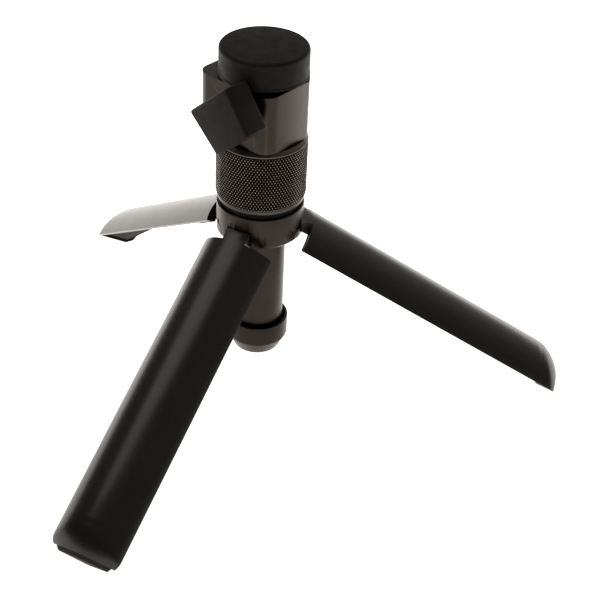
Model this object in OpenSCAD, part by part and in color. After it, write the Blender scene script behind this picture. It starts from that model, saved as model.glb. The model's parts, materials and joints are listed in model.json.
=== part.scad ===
// Hand grip that opens into a small tripod: three channel-section legs fold round a centre column,
// a ball-bearing head turns above a knurled lock ring, and a capped camera platform tops it.
// The origin is on the ground, on the column's axis, midway between the three feet. Leg 1 opens along +X.

/* [Legs] */
// Angle that each leg swings out from the closed handle
leg_angle = 57.5; // [30:0.5:57.5]
// Outer radius of a leg's channel section, and of the closed handle
leg_r = 15.6; // [15:0.1:16]
// Wall thickness of the channel section
leg_wall = 1.7; // [1.2:0.1:2]
// Distance from the hinge pin down to the end of the closed leg
leg_reach = 124; // [90:1:160]
// Distance from the hinge pin down to the top edge of the closed leg
leg_root_drop = 6.2; // [6.2:0.1:9]
// Radius of the curve that turns the leg's outer surface in at its tip, seen from the side
tip_curve_r = 20; // [18:0.5:24]
// Length of the leg that the tip curve takes up
tip_curve_len = 12; // [8:0.5:13]
// Thickness of the end plate at the tip
end_plate_t = 1.5; // [1:0.1:2.5]
// Height that the rubber foot stands proud of the end plate
foot_proud = 1.4; // [0.5:0.1:1.5]
// Length of the tapered insert behind the end plate
insert_len = 36; // [24:1:38]
// Clearance between each leg's side and the plane midway to the next leg
leg_side_gap = 0.3; // [0.2:0.05:0.6]

/* [Hinges] */
// Distance of each hinge pin from the column's axis
pin_offset = 12.1; // [12:0.05:12.4]
// Radius of the hinge pins
pin_r = 1.25; // [1:0.05:1.4]
// Radius of the round boss on each leg's hinge tab
tab_boss_r = 2.4; // [2.2:0.05:2.5]
// Width of each leg's hinge tab
tab_w = 8.8; // [7:0.1:9]
// Width of the slot in the hub for a hinge tab
slot_w = 9.6; // [9.4:0.1:10.5]

/* [Hub and column] */
// Radius of the hub that carries the hinges
hub_r = 15.56; // [15.3:0.02:15.6]
// Height of the hub
hub_h = 12.4; // [12:0.1:14]
// Distance from the hub's underside up to the hinge pins
hub_pin_rise = 5.2; // [5:0.1:5.4]
// Chamfer round the hub's lower edge
hub_chamfer = 1.2; // [0.5:0.1:1.5]
// Outer radius of the column tube
column_r = 9.33; // [9.2:0.01:9.4]
// Length of the column tube below the hub
column_len = 48.6; // [35:0.1:60]
// Bore radius of the column tube
column_bore_r = 7.4; // [6.8:0.1:7.8]
// Outer radius of the ring at the column's foot
foot_ring_r = 11.24; // [10.8:0.02:11.6]
// Height of the ring at the column's foot
foot_ring_h = 13; // [11:0.1:16]

/* [Lock ring] */
// Radius over the knurling of the lock ring
knurl_r = 16; // [15.7:0.05:16.2]
// Height of the lock ring with its bevelled top ring
lock_ring_h = 24.45; // [24:0.05:25]
// Height of the smooth band below the knurling
band_h = 1.75; // [1:0.05:2.5]
// Height of the bevelled top ring
bevel_h = 1.6; // [1.2:0.1:2]
// Radius of the dark spacer under the lock ring
spacer_r = 14.6; // [14:0.1:15]
// Thickness of the dark spacer under the lock ring
spacer_h = 1.9; // [1.5:0.1:2.5]

/* [Head] */
// Radius of the head's round back
head_r = 15.5; // [15:0.1:15.8]
// Height of the head block
head_h = 20.95; // [19:0.05:24]
// Direction that the head's own X axis points, seen from above
head_yaw = -42.7; // [-180:0.1:180]
// Distance from the axis to the flat that carries the clamp knob
facet_y = 13.2; // [13:0.1:14]
// Distance from the axis to the short side flat
side_flat_x = 13.8; // [13:0.1:14.5]
// Distance from the axis to the far side of the squared corner
corner_x = 18.6; // [17:0.1:19.5]

/* [Clamp knob] */
// Turn of the knob's paddle away from level
knob_tilt = 41; // [0:1:180]
// Distance from the knob's axis to the middle of its paddle
paddle_shift = 6.1; // [4:0.1:7]
// Length of the paddle's longer side
paddle_long = 21.7; // [18:0.1:24]
// Length of the paddle's shorter side
paddle_short = 18.4; // [15:0.1:20]
// Width of the paddle
paddle_w = 17.3; // [14:0.1:19]
// Distance from the column's axis to the back of the paddle
paddle_back = 16.5; // [16.4:0.1:18]
// Thickness of the paddle
paddle_t = 10; // [6:0.5:10]

/* [Platform and cap] */
// Radius of the camera platform
platform_r = 13.52; // [13:0.01:13.52]
// Radius of the camera stud, for a quarter-inch thread
stud_r = 3.175; // [3:0.005:3.175]
// Outer radius of the rubber cap
cap_r = 15.3; // [15.1:0.1:15.5]
// Height of the rubber cap
cap_h = 9.8; // [9.7:0.1:12]

/* [Hidden] */

$fn = 96;
// Overshoot of a cutting shape past the face that it cuts
cut = 1;
// Gap between two pieces of the same assembly that are pushed together
push_gap = 0.03;
// Radial clearance of a shaft that turns in its bore
run_gap = 0.05;
// Gap between faces that pass each other in use
pass_gap = 0.3;
// Gap of a bearing race on its seat, and of a bore round a screw or pin that is fixed in it
seat_gap = 0.02;
// Gap between faces that would otherwise rest on each other
rest_gap = 0.1;
// Gap round a washer or a shield, whose place doesn't matter
loose_gap = 0.2;
// Chamfer that breaks an edge
edge_break = 0.3;

// Legs, in the closed pose with heights measured from the hinge pin
leg_inner_r = leg_r - leg_wall;
plate_apex_x = 1.3;
foot_apex_x = 1.6;
foot_inset = 0.6;
foot_recess = 1;
tip_z = -leg_reach;
foot_end_z = tip_z - foot_proud;
root_z = -leg_root_drop;
tip_curve_z = tip_z + tip_curve_len;
crest_shift = 8;
crest_margin = 0.05;
leg_edge_x = leg_inner_r * cos(60 - asin(leg_side_gap / leg_inner_r));
liner_t = 2;
liner_len = 13;
liner_set_back = 0.4;
insert_recess = 1;
insert_top = [2.4, 4.4];
tab_corner_z = -3.4;
tab_heel = [10.4, -9.6];
tab_toe_z = -15.5;

// The apex of each foot is the lowest point of an open leg, so it sets the pin's height
pin_z = (pin_offset - foot_apex_x) * sin(leg_angle) - foot_end_z * cos(leg_angle);

// Hub and column
hub_z = pin_z - hub_pin_rise;
hub_top = hub_z + hub_h;
hub_roof_t = 2;
spigot_r = 8.6;
spigot_bore_r = 6.05;
spigot_shoulder_z = hub_z + 1.85;
slot_clear_r = 2.8;
slot_lip = [4.4, 1.35];
pin_blind_len = 9;
pin_open_len = 10;
pin_end_set_back = 0.05;
column_bottom = hub_z - column_len;
foot_floor_t = 2.05;
foot_bottom = column_bottom - foot_floor_t;
foot_chamfer_h = 5.4;
foot_bottom_r = 8.5;
foot_rim_t = 1;
foot_groove_depth = 3;
plug_face_r = 6.35;
plug_face_set_back = 0.15;
plug_len = 6;

// Spindle and its two 10 x 19 x 5 mm ball bearings
shaft_r = 5;
shaft_nose_r = 4;
tail_r = 6;
tail_bottom = hub_z + 2.45;
flange_r = 9;
flange_h = 3.35;
flange_top = hub_top + flange_h;
shoulder_r = 6.2;
shoulder_h = 1.4;
bearing_w = 5;
bearing_gap = 6.9;
race_inner_r = 6.3;
race_outer_r = 8.2;
bearing_od_r = 9.5;
ball_r = 1.25;
ball_pitch_r = 7.25;
balls_each = 11;
bearing_z = [flange_top + shoulder_h, flange_top + shoulder_h + bearing_w + bearing_gap];
shaft_top = bearing_z[1] + bearing_w;
nose_h = 3.4;
nut_h = 3;
nut_r = 6.6;
screw_r = 2.5;
screw_head_r = 4.25;
screw_head_h = 4.6;
screw_len = 10.4;
socket_r = 2.3;
socket_depth = 2.6;
screw_hole_top = hub_top - 1;
washer_t = 1.2;
shield_t = 0.3;
shield_set_back = 0.35;
ball_gap = 0.06;

// Lock ring
ring_bottom = hub_top + spacer_h + rest_gap;
ring_top = ring_bottom + lock_ring_h;
ring_groove_h = 0.35;
ring_groove_depth = 0.6;
band_r = knurl_r - 0.5;
bevel_top_r = 14.9;
bevel_edge_h = 0.35;
sleeve_r = 12.2;
ring_bore_r = sleeve_r + pass_gap;
ring_web_h = 1.65;

// Head
head_gap = 0.4;
head_bottom = ring_top + head_gap;
head_top = head_bottom + head_h;
sleeve_bottom = ring_bottom + ring_web_h + pass_gap;
neck_r = 10.8;
neck_h = 4.6;
land_r = bearing_od_r - 0.9;
front_corner_r = 5;
left_corner_r = 5;
back_corner_r = 4;
back_corner_y = -3;

// Platform, stud and cap
post_r = 6.45;
post_len = 13.4;
washer_h = 0.6;
washer_r = 12;
platform_bottom = head_top + washer_h + run_gap;
platform_h = 3;
platform_top = platform_bottom + platform_h;
pad_h = 0.8;
pad_r = 12.2;
stud_top = platform_top + 5.7;
stud_len = 13.7;
stud_root_r = 2.8;
stud_chamfer = 0.5;
pad_hole_gap = 1.2;
cap_bottom = head_top + 1.4;
cap_roof_t = 1.55;
cap_edge_r = 1.2;
cap_flare = 0.25;
cap_flare_h = 1;
cap_ledge_r = 12.5;
cap_ledge_z = platform_top + rest_gap;
cap_grip_gap = 0.08;

// Clamp knob, in the head's own frame with the knob on its -Y side
knob_z = head_bottom + 10.45;
knob_boss_r = 6.8;
knob_boss_gap = 0.3;
paddle_edge_r = 1.2;
knob_screw_r = 2.95;
knob_bush_r = 4.5;
knob_bush_len = 4.7;
screw_in_knob = 4;
tip_back_y = 7.2;
tip_front_y = 6;
tip_r = 2.6;
screw_clear = 0.25;
boss_overlap = 0.5;
post_groove_r = 5.6;
post_groove_h = 5.6;

black = [0.11, 0.11, 0.115];
gunmetal = [0.27, 0.24, 0.23];
rubber = [0.16, 0.155, 0.15];
steel = [0.62, 0.63, 0.65];
brass = [0.72, 0.58, 0.30];

// Direction from a circle's centre to the point where an outer tangent leaves it for a second circle
function tangent_way(a, ra, b, rb, side) =
    let (d = b - a) atan2(d[1], d[0]) + side * acos((ra - rb) / norm(d));
function on_circle(centre, r, way) = centre + r * [cos(way), sin(way)];

module tube(outer, inner, z0, z1) {
    translate([0, 0, z0]) difference() {
        cylinder(r = outer, h = z1 - z0);
        translate([0, 0, -cut]) cylinder(r = inner, h = z1 - z0 + 2 * cut);
    }
}

module rod(r, z0, z1) {
    translate([0, 0, z0]) cylinder(r = r, h = z1 - z0);
}

// A prism that stands on a side view: x along the radius and y up, w thick about the leg's middle plane
module side_prism(w) {
    rotate([90, 0, 0]) translate([0, 0, -w / 2]) linear_extrude(w) children();
}

module open_leg(index) {
    rotate([0, 0, 120 * (index - 1)])
        translate([pin_offset, 0, pin_z])
            rotate([0, -leg_angle, 0])
                translate([-pin_offset, 0, 0])
                    children();
}

module each_leg_side() {
    for (i = [0:2]) rotate([0, 0, 120 * i]) children();
}

module in_head() {
    rotate([0, 0, head_yaw]) children();
}

// Turns a shape that runs along +Z from the axis so that it runs out through the knob
module along_knob() {
    in_head() translate([0, 0, knob_z]) rotate([90, 0, 0]) children();
}

// ---- Hub and column ----

module slot_profile() {
    lip_way = tangent_way([0, 0], slot_clear_r, slot_lip, 0, 1);
    roof = on_circle([0, 0], slot_clear_r, lip_way);
    floor_z = -hub_pin_rise - cut;
    translate([pin_offset, 0]) {
        circle(r = slot_clear_r);
        polygon([
            [-slot_clear_r, floor_z], [-slot_clear_r, 0], [0, 0], roof, slot_lip,
            [slot_lip[0] + cut, slot_lip[1]], [slot_lip[0] + cut, floor_z]
        ]);
    }
}

module hub() {
    color(gunmetal) difference() {
        translate([0, 0, hub_z]) rotate_extrude()
            polygon([
                [0, 0], [hub_r - hub_chamfer, 0], [hub_r, hub_chamfer],
                [hub_r, hub_h - edge_break], [hub_r - edge_break, hub_h], [0, hub_h]
            ]);
        rod(spigot_r + push_gap, hub_z - cut, hub_top - hub_roof_t);
        rod(tail_r + push_gap, hub_top - hub_roof_t - cut, hub_top + cut);
        each_leg_side() translate([0, 0, pin_z]) {
            side_prism(slot_w) slot_profile();
            hinge_axis() pin_bar(pin_r + seat_gap, cut);
        }
    }
}

module hinge_axis() {
    translate([pin_offset, 0, 0]) rotate([90, 0, 0]) children();
}

// A bar along the hinge axis, from the blind end of its bore out through the hub's surface
module pin_bar(r, past) {
    translate([0, 0, -pin_blind_len]) cylinder(r = r, h = pin_blind_len + pin_open_len + past, $fn = 48);
}

module hinge_pins() {
    color(steel) each_leg_side() intersection() {
        translate([0, 0, pin_z]) hinge_axis() pin_bar(pin_r, 0);
        rod(hub_r - pin_end_set_back, hub_z, hub_top);
    }
}

module column_tube() {
    color(gunmetal) difference() {
        union() {
            rod(column_r, column_bottom, hub_z);
            rod(spigot_r, hub_z, hub_top - hub_roof_t - rest_gap);
        }
        rod(column_bore_r, column_bottom - cut, spigot_shoulder_z);
        rod(spigot_bore_r, spigot_shoulder_z - cut, hub_top);
    }
}

module foot_ring() {
    groove_r = foot_ring_r - foot_rim_t;
    color(gunmetal) translate([0, 0, foot_bottom]) rotate_extrude()
        polygon([
            [plug_face_r + push_gap, 0], [foot_bottom_r, 0], [foot_ring_r, foot_chamfer_h],
            [foot_ring_r, foot_ring_h - edge_break], [foot_ring_r - edge_break, foot_ring_h],
            [groove_r, foot_ring_h],
            [groove_r, foot_ring_h - foot_groove_depth],
            [column_r + push_gap, foot_ring_h - foot_groove_depth],
            [column_r + push_gap, foot_floor_t], [plug_face_r + push_gap, foot_floor_t]
        ]);
}

module end_plug() {
    color(black) {
        rod(plug_face_r, foot_bottom + plug_face_set_back, column_bottom);
        rod(column_bore_r - push_gap, column_bottom, column_bottom + plug_len);
    }
}

// ---- Spindle ----

module spindle() {
    thread_r = screw_r + seat_gap;
    color(steel) rotate_extrude()
        polygon([
            [thread_r, tail_bottom], [tail_r, tail_bottom], [tail_r, hub_top], [flange_r, hub_top],
            [flange_r, flange_top], [shoulder_r, flange_top], [shoulder_r, bearing_z[0]],
            [shaft_r, bearing_z[0]], [shaft_r, shaft_top], [shaft_nose_r, shaft_top],
            [shaft_nose_r, shaft_top + nose_h], [0, shaft_top + nose_h], [0, screw_hole_top],
            [thread_r, screw_hole_top]
        ]);
}

module spindle_screw() {
    washer_z = spigot_shoulder_z - washer_t;
    color(steel) difference() {
        union() {
            rod(screw_head_r, washer_z - screw_head_h, washer_z);
            rod(screw_r, washer_z, washer_z + screw_len);
        }
        translate([0, 0, washer_z - screw_head_h - cut])
            cylinder(r = socket_r, h = socket_depth + cut, $fn = 6);
    }
}

module spindle_washer() {
    color(steel) tube(column_bore_r - loose_gap, screw_r + loose_gap,
        spigot_shoulder_z - washer_t, spigot_shoulder_z);
}

module spacer_ring() {
    color(black) tube(spacer_r, flange_r + rest_gap, hub_top, hub_top + spacer_h);
}

module spindle_nut() {
    color(steel) translate([0, 0, shaft_top]) difference() {
        cylinder(r = nut_r, h = nut_h, $fn = 6);
        translate([0, 0, -cut]) cylinder(r = shaft_nose_r + push_gap, h = nut_h + 2 * cut);
    }
}

// ---- Ball bearings ----

module race(outer, inner, z0) {
    difference() {
        tube(outer, inner, z0, z0 + bearing_w);
        translate([0, 0, z0 + bearing_w / 2]) rotate_extrude()
            translate([ball_pitch_r, 0]) circle(r = ball_r + ball_gap, $fn = 48);
    }
}

module bearing_inner_races() {
    color(steel) for (z = bearing_z) race(race_inner_r, shaft_r + seat_gap, z);
}

module bearing_outer_races() {
    color(steel) for (z = bearing_z) race(bearing_od_r, race_outer_r, z);
}

module bearing_balls() {
    color(steel) for (z = bearing_z, i = [0:balls_each - 1])
        rotate([0, 0, 360 * i / balls_each])
            translate([ball_pitch_r, 0, z + bearing_w / 2]) sphere(r = ball_r, $fn = 32);
}

module bearing_shields() {
    color(steel) for (z = bearing_z, side = [shield_set_back, bearing_w - shield_set_back - shield_t])
        tube(race_outer_r - push_gap, race_inner_r + loose_gap, z + side, z + side + shield_t);
}

module bearing_spacer() {
    color(steel) tube(shoulder_r, shaft_r + seat_gap, bearing_z[0] + bearing_w, bearing_z[1]);
}

// ---- Legs ----

// The wedge of space that one closed leg keeps to, with a blunt edge at apex_x
module leg_sector(apex_x, gap) {
    edge_x = gap / sin(60);
    far_x = 2 * leg_r;
    flat = (apex_x - edge_x) * tan(60);
    side = (far_x - edge_x) * tan(60);
    translate([0, 0, foot_end_z - cut]) linear_extrude(leg_reach + foot_proud + 2 * cut)
        polygon([[apex_x, -flat], [far_x, -side], [far_x, side], [apex_x, flat]]);
}

// Half side view of the tip's curve about an axis behind the leg, taken in by depth, from z0 up to z1
module crest_profile(depth, z0, z1) {
    far_r = leg_r + crest_shift + crest_margin;
    intersection() {
        translate([0, z0]) square([far_r, z1 - z0]);
        union() {
            translate([0, tip_curve_z]) square([far_r - depth, leg_reach]);
            translate([far_r - tip_curve_r, tip_curve_z]) circle(r = tip_curve_r - depth, $fn = 180);
        }
    }
}

// The space inside the leg's outer skin, taken in by depth: round, and curved in at the tip
module leg_core(depth, z0, z1) {
    intersection() {
        rod(leg_r - depth, z0, z1);
        translate([-crest_shift, 0, 0]) rotate_extrude() crest_profile(depth, z0, z1);
    }
}

module tab_profile() {
    pin = [pin_offset, 0];
    corner = [leg_r, tab_corner_z];
    top_way = tangent_way(pin, tab_boss_r, corner, 0, 1);
    heel_way = tangent_way(pin, tab_boss_r, tab_heel, 0, -1);
    translate(pin) circle(r = tab_boss_r, $fn = 64);
    polygon([
        pin, on_circle(pin, tab_boss_r, top_way), corner,
        [leg_r + cut, tab_corner_z], [leg_r + cut, tab_toe_z],
        [leg_inner_r, tab_toe_z], tab_heel, on_circle(pin, tab_boss_r, heel_way)
    ]);
}

module foot_outline(apex_x, gap, inset, z0, z1) {
    intersection() {
        leg_core(inset, z0, z1);
        leg_sector(apex_x, gap);
    }
}

module leg_channel(index) {
    color(black) open_leg(index) difference() {
        union() {
            intersection() {
                difference() {
                    leg_core(0, tip_z, root_z);
                    leg_core(leg_wall, tip_z + end_plate_t, root_z + cut);
                }
                leg_sector(plate_apex_x, leg_side_gap);
            }
            intersection() {
                side_prism(tab_w) tab_profile();
                rod(leg_r, tab_toe_z - cut, tab_boss_r + cut);
            }
        }
        hinge_axis() translate([0, 0, -tab_w]) cylinder(r = pin_r + run_gap, h = 2 * tab_w, $fn = 48);
        foot_outline(foot_apex_x, leg_side_gap + foot_inset, foot_inset, tip_z - cut, tip_z + foot_recess);
    }
}

module leg_liner(index) {
    top_z = root_z - liner_set_back;
    color(black) open_leg(index) difference() {
        intersection() {
            tube(leg_inner_r - push_gap, leg_inner_r - liner_t, top_z - liner_len, top_z);
            leg_sector(plate_apex_x, leg_side_gap + liner_set_back);
        }
        translate([0, -tab_w / 2 - rest_gap, tab_toe_z - rest_gap])
            cube([leg_r, tab_w + 2 * rest_gap, -tab_toe_z]);
    }
}

// The inner face slopes from the apex of the end plate out to the leg's edge
module leg_insert(index) {
    floor_z = tip_z + end_plate_t + push_gap;
    top_z = floor_z + insert_len;
    apex_x = plate_apex_x + insert_recess;
    color(black) open_leg(index) intersection() {
        leg_core(leg_wall + push_gap, floor_z, top_z);
        leg_sector(apex_x, leg_side_gap + insert_recess);
        side_prism(2 * leg_r) polygon([
            [apex_x, floor_z], [leg_r, floor_z], [leg_r, top_z],
            [leg_edge_x + insert_top[0], top_z], [leg_edge_x, top_z - insert_top[1]]
        ]);
    }
}

module leg_foot(index) {
    color(rubber) open_leg(index)
        foot_outline(foot_apex_x, leg_side_gap + foot_inset + push_gap, foot_inset + push_gap,
            foot_end_z, tip_z + foot_recess - push_gap);
}

module leg_1_channel() leg_channel(1);
module leg_2_channel() leg_channel(2);
module leg_3_channel() leg_channel(3);
module leg_1_liner() leg_liner(1);
module leg_2_liner() leg_liner(2);
module leg_3_liner() leg_liner(3);
module leg_1_insert() leg_insert(1);
module leg_2_insert() leg_insert(2);
module leg_3_insert() leg_insert(3);
module leg_1_foot() leg_foot(1);
module leg_2_foot() leg_foot(2);
module leg_3_foot() leg_foot(3);

// ---- Lock ring ----

module lock_ring() {
    groove_z = lock_ring_h - bevel_h - ring_groove_h;
    color(gunmetal) translate([0, 0, ring_bottom]) rotate_extrude()
        polygon([
            [flange_r + run_gap, 0], [band_r, 0], [band_r, band_h], [knurl_r, band_h],
            [knurl_r, groove_z], [knurl_r - ring_groove_depth, groove_z],
            [knurl_r - ring_groove_depth, groove_z + ring_groove_h],
            [ring_bore_r, groove_z + ring_groove_h], [ring_bore_r, ring_web_h],
            [flange_r + run_gap, ring_web_h]
        ]);
}

module bevel_ring() {
    color(gunmetal) translate([0, 0, ring_top - bevel_h]) rotate_extrude()
        polygon([
            [ring_bore_r, 0], [knurl_r, 0], [knurl_r, bevel_edge_h], [bevel_top_r, bevel_h],
            [ring_bore_r, bevel_h]
        ]);
}

// ---- Head ----

// The head seen from above: a round back, one squared corner and a flat for the knob
module head_plan() {
    back_corner = [back_corner_r - corner_x, back_corner_y];
    left_corner = [left_corner_r - corner_x, left_corner_r - facet_y];
    front_corner = [side_flat_x - front_corner_r, front_corner_r - facet_y];
    tie_way = tangent_way([0, 0], head_r, back_corner, back_corner_r, -1);
    flat_end_y = sqrt(head_r * head_r - side_flat_x * side_flat_x);
    intersection() {
        circle(r = head_r, $fn = 180);
        translate([-head_r, -facet_y]) square([head_r + side_flat_x, head_r + facet_y]);
    }
    translate(back_corner) circle(r = back_corner_r);
    translate(left_corner) circle(r = left_corner_r);
    translate(front_corner) circle(r = front_corner_r);
    polygon([
        [left_corner[0], -facet_y], [front_corner[0], -facet_y], front_corner,
        [side_flat_x, front_corner[1]], [side_flat_x, flat_end_y], [0, flat_end_y],
        on_circle([0, 0], head_r, tie_way), on_circle(back_corner, back_corner_r, tie_way),
        back_corner, [-corner_x, back_corner_y], [-corner_x, left_corner[1]], left_corner
    ]);
}

module head_housing() {
    color(gunmetal) difference() {
        in_head() translate([0, 0, head_bottom]) linear_extrude(head_h) head_plan();
        rod(neck_r + push_gap, head_bottom - cut, head_bottom + neck_h + loose_gap);
        rod(post_r + run_gap, head_bottom, head_top + cut);
        along_knob() {
            translate([0, 0, facet_y - knob_bush_len])
                cylinder(r = knob_bush_r + push_gap, h = knob_bush_len + cut);
            cylinder(r = knob_screw_r + screw_clear, h = facet_y);
        }
    }
}

module bearing_sleeve() {
    seat_r = bearing_od_r + seat_gap;
    land_z = bearing_z[0] + bearing_w;
    neck_top = head_bottom + neck_h;
    color(steel) rotate_extrude()
        polygon([
            [seat_r, sleeve_bottom], [sleeve_r, sleeve_bottom], [sleeve_r, head_bottom],
            [neck_r, head_bottom], [neck_r, neck_top], [seat_r, neck_top], [seat_r, bearing_z[1]],
            [land_r, bearing_z[1]], [land_r, land_z], [seat_r, land_z]
        ]);
}

module knob_bush() {
    color(brass) along_knob() translate([0, 0, facet_y - knob_bush_len]) difference() {
        cylinder(r = knob_bush_r, h = knob_bush_len);
        translate([0, 0, -cut]) cylinder(r = knob_screw_r + run_gap, h = knob_bush_len + 2 * cut);
    }
}

module platform_washer() {
    color(black) tube(washer_r, post_r + loose_gap, head_top, head_top + washer_h);
}

// ---- Clamp knob ----

// The paddle lies along its own +X, with Z running out through the knob
module paddle() {
    half_w = paddle_w / 2 - paddle_edge_r;
    corners = [
        [paddle_short / 2 - paddle_edge_r, -half_w], [paddle_long / 2 - paddle_edge_r, half_w],
        [paddle_edge_r - paddle_long / 2, half_w], [paddle_edge_r - paddle_short / 2, -half_w]
    ];
    hull() for (p = corners, z = [paddle_edge_r, paddle_t - paddle_edge_r])
        translate([p[0], p[1], z]) sphere(r = paddle_edge_r, $fn = 32);
}

module lock_knob() {
    color(rubber) difference() {
        along_knob() rotate([0, 0, knob_tilt]) union() {
            translate([0, 0, facet_y + knob_boss_gap])
                cylinder(r = knob_boss_r, h = paddle_back - facet_y - knob_boss_gap + boss_overlap);
            translate([paddle_shift, 0, paddle_back]) paddle();
        }
        along_knob() cylinder(r = knob_screw_r + seat_gap, h = paddle_back + screw_in_knob);
    }
}

module knob_screw() {
    color(steel) along_knob() translate([0, 0, tip_back_y])
        cylinder(r = knob_screw_r, h = paddle_back + screw_in_knob - loose_gap - tip_back_y);
}

module brake_tip() {
    color(brass) along_knob() translate([0, 0, tip_front_y])
        cylinder(r = tip_r, h = tip_back_y - tip_front_y);
}

// ---- Platform and cap ----

module camera_platform() {
    color(gunmetal) difference() {
        union() {
            rod(platform_r, platform_bottom, platform_top);
            rod(post_r, platform_bottom - post_len, platform_bottom);
        }
        tube(post_r + cut, post_groove_r, knob_z - post_groove_h / 2, knob_z + post_groove_h / 2);
        rod(stud_root_r + seat_gap, stud_top - stud_len - rest_gap, platform_top + cut);
    }
}

module camera_stud() {
    color(steel) rotate_extrude()
        polygon([
            [0, stud_top - stud_len], [stud_root_r, stud_top - stud_len], [stud_root_r, platform_top],
            [stud_r, platform_top], [stud_r, stud_top - stud_chamfer],
            [stud_r - stud_chamfer, stud_top], [0, stud_top]
        ]);
}

module platform_pad() {
    color(rubber) tube(pad_r, stud_r + pad_hole_gap, platform_top, platform_top + pad_h);
}

module cap_half_view() {
    difference() {
        union() {
            square([cap_r - cap_edge_r, cap_h]);
            square([cap_r, cap_h - cap_edge_r]);
            translate([cap_r - cap_edge_r, cap_h - cap_edge_r]) circle(r = cap_edge_r, $fn = 48);
            polygon([
                [0, 0], [cap_r + cap_flare, 0], [cap_r + cap_flare, edge_break],
                [cap_r, cap_flare_h], [0, cap_flare_h]
            ]);
        }
        translate([-cut, -cut]) square([platform_r + cap_grip_gap + cut, cap_ledge_z - cap_bottom + cut]);
        translate([-cut, -cut]) square([cap_ledge_r + cut, cap_h - cap_roof_t + cut]);
        translate([-2 * cut, -cut]) square([2 * cut, cap_h + 2 * cut]);
    }
}

module screw_cap() {
    color(rubber) translate([0, 0, cap_bottom]) rotate_extrude() cap_half_view();
}

hub();
column_tube();
foot_ring();
end_plug();
hinge_pins();
spindle();
spindle_screw();
spindle_washer();
spacer_ring();
bearing_inner_races();
bearing_spacer();
bearing_balls();
spindle_nut();
leg_1_channel();
leg_1_liner();
leg_1_insert();
leg_1_foot();
leg_2_channel();
leg_2_liner();
leg_2_insert();
leg_2_foot();
leg_3_channel();
leg_3_liner();
leg_3_insert();
leg_3_foot();
lock_ring();
bevel_ring();
head_housing();
bearing_sleeve();
bearing_outer_races();
bearing_shields();
knob_bush();
platform_washer();
lock_knob();
knob_screw();
brake_tip();
camera_platform();
camera_stud();
platform_pad();
screw_cap();
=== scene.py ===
"""Looks for a hand grip that opens into a small tripod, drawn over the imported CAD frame."""

import json
import math

import bmesh
import bpy
from mathutils import Matrix, Vector


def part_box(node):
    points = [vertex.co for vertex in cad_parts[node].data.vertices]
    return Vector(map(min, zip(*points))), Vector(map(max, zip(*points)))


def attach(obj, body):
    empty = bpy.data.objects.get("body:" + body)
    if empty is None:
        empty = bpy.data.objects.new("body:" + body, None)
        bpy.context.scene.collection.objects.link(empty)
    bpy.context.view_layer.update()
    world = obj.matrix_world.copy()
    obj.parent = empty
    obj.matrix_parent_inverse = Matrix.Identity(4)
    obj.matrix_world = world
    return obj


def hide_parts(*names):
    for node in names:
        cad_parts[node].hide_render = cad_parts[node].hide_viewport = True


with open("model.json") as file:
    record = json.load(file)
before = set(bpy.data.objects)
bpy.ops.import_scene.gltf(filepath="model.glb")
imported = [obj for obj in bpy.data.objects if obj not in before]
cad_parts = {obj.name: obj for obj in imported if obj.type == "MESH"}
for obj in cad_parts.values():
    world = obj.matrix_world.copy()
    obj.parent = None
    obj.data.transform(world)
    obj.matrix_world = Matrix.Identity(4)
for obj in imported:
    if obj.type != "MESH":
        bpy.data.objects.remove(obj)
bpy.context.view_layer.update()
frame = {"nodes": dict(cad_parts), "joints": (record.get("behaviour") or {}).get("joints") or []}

MM = 0.001
JOINTS = {j["name"]: j for j in frame["joints"]}


# ---------------------------------------------------------------- measures taken from the frame

def mm_box(node):
    """A node's lowest and highest corners in millimetres."""
    low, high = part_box(node)
    return low / MM, high / MM


def radius_of(node):
    """The radius over a round node that stands on the axis, in millimetres."""
    return max((v.co.x ** 2 + v.co.y ** 2) ** 0.5 for v in frame["nodes"][node].data.vertices) / MM


def open_matrix(index):
    """Turns a leg from its closed pose, in which its sizes are given, out to where it stands."""
    joint = JOINTS[f"leg_{index}_fold"]
    pin = Vector(joint["pos_m"])
    swing = -math.radians(joint["range_deg"][1])
    turn = Matrix.Rotation(swing, 4, Vector(joint["axis"]))
    return Matrix.Translation(pin) @ turn @ Matrix.Translation(-pin)


PIN = Vector(JOINTS["leg_1_fold"]["pos_m"]) / MM
CLOSING = open_matrix(1).inverted()
CLOSED_LEG = [CLOSING @ v.co / MM for v in frame["nodes"]["leg_1_channel"].data.vertices]
LEG_R = max(math.hypot(p.x, p.y) for p in CLOSED_LEG)
TIP_Z = min(p.z for p in CLOSED_LEG) - PIN.z
BOSS_R = max(p.z for p in CLOSED_LEG) - PIN.z


# ---------------------------------------------------------------- mesh building

SHARP_ANGLE = 32
LATHE_SEGMENTS = 160
FILLET_STEPS = 5
ON_AXIS = 1e-6
WELD_DISTANCE = 0.0005
FLAT_ANGLE = 0.4


def spread(low, high, count):
    """Evenly spaced values from low to high, both included."""
    return [low + (high - low) * i / count for i in range(count + 1)]


def full_turn(count):
    """Evenly spaced angles once round."""
    return [math.tau * i / count for i in range(count)]


def on_circle(r, way, z):
    """The point at radius r and height z, in the direction way."""
    return r * math.cos(way), r * math.sin(way), z


def finish_mesh(name, bm, sharp_angle=SHARP_ANGLE):
    """Makes an object, in metres, from a bmesh drawn in millimetres."""
    bmesh.ops.recalc_face_normals(bm, faces=bm.faces)
    mesh = bpy.data.meshes.new(name)
    bm.to_mesh(mesh)
    bm.free()
    mesh.transform(Matrix.Scale(MM, 4))
    for polygon in mesh.polygons:
        polygon.use_smooth = True
    mesh.set_sharp_from_angle(angle=math.radians(sharp_angle))
    obj = bpy.data.objects.new(name, mesh)
    bpy.context.scene.collection.objects.link(obj)
    return obj


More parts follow.
